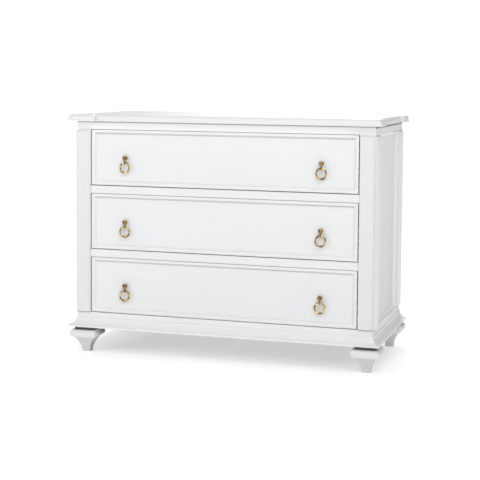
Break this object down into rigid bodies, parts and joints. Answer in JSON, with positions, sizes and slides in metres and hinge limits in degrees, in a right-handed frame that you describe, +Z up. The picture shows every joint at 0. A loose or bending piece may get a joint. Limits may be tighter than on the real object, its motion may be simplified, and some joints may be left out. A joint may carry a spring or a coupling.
{
  "type": "chest of drawers",
  "caption": "Painted commode chest with inset drawers on ring pulls, pilasters, sunk side panels, a top with stepped-out corners, and a flared base on tapered ogee feet.",
  "frame": {"origin": "on the floor, in the middle of the chest's plan", "axes": "+X to the right seen from the front, -Y is the front, +Z up"},
  "size_m": [1.067, 0.522, 0.808],
  "materials": {
    "painted_wood": "off-white satin lacquer, softly brushed, a little taupe left in the hollows",
    "bare_wood": "bare, planed",
    "brass": "aged, polished on the high parts"
  },
  "bodies": {
    "case": {"back_panel": "bare_wood", "base_back": "bare_wood", "base_front": "painted_wood", "base_left": "painted_wood", "base_right": "painted_wood", "corner_blocks": "bare_wood", "drawer_runners": "bare_wood", "foot_back_left": "painted_wood", "foot_back_right": "painted_wood", "foot_front_left": "painted_wood", "foot_front_right": "painted_wood", "frieze_back": "bare_wood", "frieze_front": "painted_wood", "frieze_left": "painted_wood", "frieze_right": "painted_wood", "kickers": "bare_wood", "pilaster_left": "painted_wood", "pilaster_right": "painted_wood", "post_back_left": "painted_wood", "post_back_right": "painted_wood", "post_front_left": "painted_wood", "post_front_right": "painted_wood", "rail_lower": "painted_wood", "rail_upper": "painted_wood", "side_moulding_left": "painted_wood", "side_moulding_right": "painted_wood", "side_panel_left": "painted_wood", "side_panel_right": "painted_wood", "sill_left": "painted_wood", "sill_right": "painted_wood", "top_board": "painted_wood", "top_buttons": "bare_wood"},
    "drawer_bottom": {"drawer_back_bottom": "bare_wood", "drawer_bottom_bottom": "bare_wood", "drawer_front_bottom": "painted_wood", "drawer_side_left_bottom": "bare_wood", "drawer_side_right_bottom": "bare_wood", "pull_knobs_bottom": "brass", "pull_roves_bottom": "brass"},
    "drawer_middle": {"drawer_back_middle": "bare_wood", "drawer_bottom_middle": "bare_wood", "drawer_front_middle": "painted_wood", "drawer_side_left_middle": "bare_wood", "drawer_side_right_middle": "bare_wood", "pull_knobs_middle": "brass", "pull_roves_middle": "brass"},
    "drawer_top": {"drawer_back_top": "bare_wood", "drawer_bottom_top": "bare_wood", "drawer_front_top": "painted_wood", "drawer_side_left_top": "bare_wood", "drawer_side_right_top": "bare_wood", "pull_knobs_top": "brass", "pull_roves_top": "brass"},
    "pull_ring_left_bottom": {"ring_left_bottom": "brass"},
    "pull_ring_right_bottom": {"ring_right_bottom": "brass"},
    "pull_ring_left_middle": {"ring_left_middle": "brass"},
    "pull_ring_right_middle": {"ring_right_middle": "brass"},
    "pull_ring_left_top": {"ring_left_top": "brass"},
    "pull_ring_right_top": {"ring_right_top": "brass"}
  },
  "joints": [
    {"name": "drawer_bottom_slide", "type": "slide", "parent": "case", "child": "drawer_bottom", "axis": [0, -1, 0], "range_m": [0, 0.32]},
    {"name": "drawer_middle_slide", "type": "slide", "parent": "case", "child": "drawer_middle", "axis": [0, -1, 0], "range_m": [0, 0.32]},
    {"name": "drawer_top_slide", "type": "slide", "parent": "case", "child": "drawer_top", "axis": [0, -1, 0], "range_m": [0, 0.32]},
    {"name": "ring_left_bottom_swing", "type": "hinge", "parent": "drawer_bottom", "child": "pull_ring_left_bottom", "pos_m": [-0.335, -0.2365, 0.2197], "axis": [-1, 0, 0], "range_deg": [-10, 190]},
    {"name": "ring_right_bottom_swing", "type": "hinge", "parent": "drawer_bottom", "child": "pull_ring_right_bottom", "pos_m": [0.335, -0.2365, 0.2197], "axis": [-1, 0, 0], "range_deg": [-10, 190]},
    {"name": "ring_left_middle_swing", "type": "hinge", "parent": "drawer_middle", "child": "pull_ring_left_middle", "pos_m": [-0.335, -0.2365, 0.4347], "axis": [-1, 0, 0], "range_deg": [-10, 190]},
    {"name": "ring_right_middle_swing", "type": "hinge", "parent": "drawer_middle", "child": "pull_ring_right_middle", "pos_m": [0.335, -0.2365, 0.4347], "axis": [-1, 0, 0], "range_deg": [-10, 190]},
    {"name": "ring_left_top_swing", "type": "hinge", "parent": "drawer_top", "child": "pull_ring_left_top", "pos_m": [-0.335, -0.2365, 0.6497], "axis": [-1, 0, 0], "range_deg": [-10, 190]},
    {"name": "ring_right_top_swing", "type": "hinge", "parent": "drawer_top", "child": "pull_ring_right_top", "pos_m": [0.335, -0.2365, 0.6497], "axis": [-1, 0, 0], "range_deg": [-10, 190]}
  ]
}
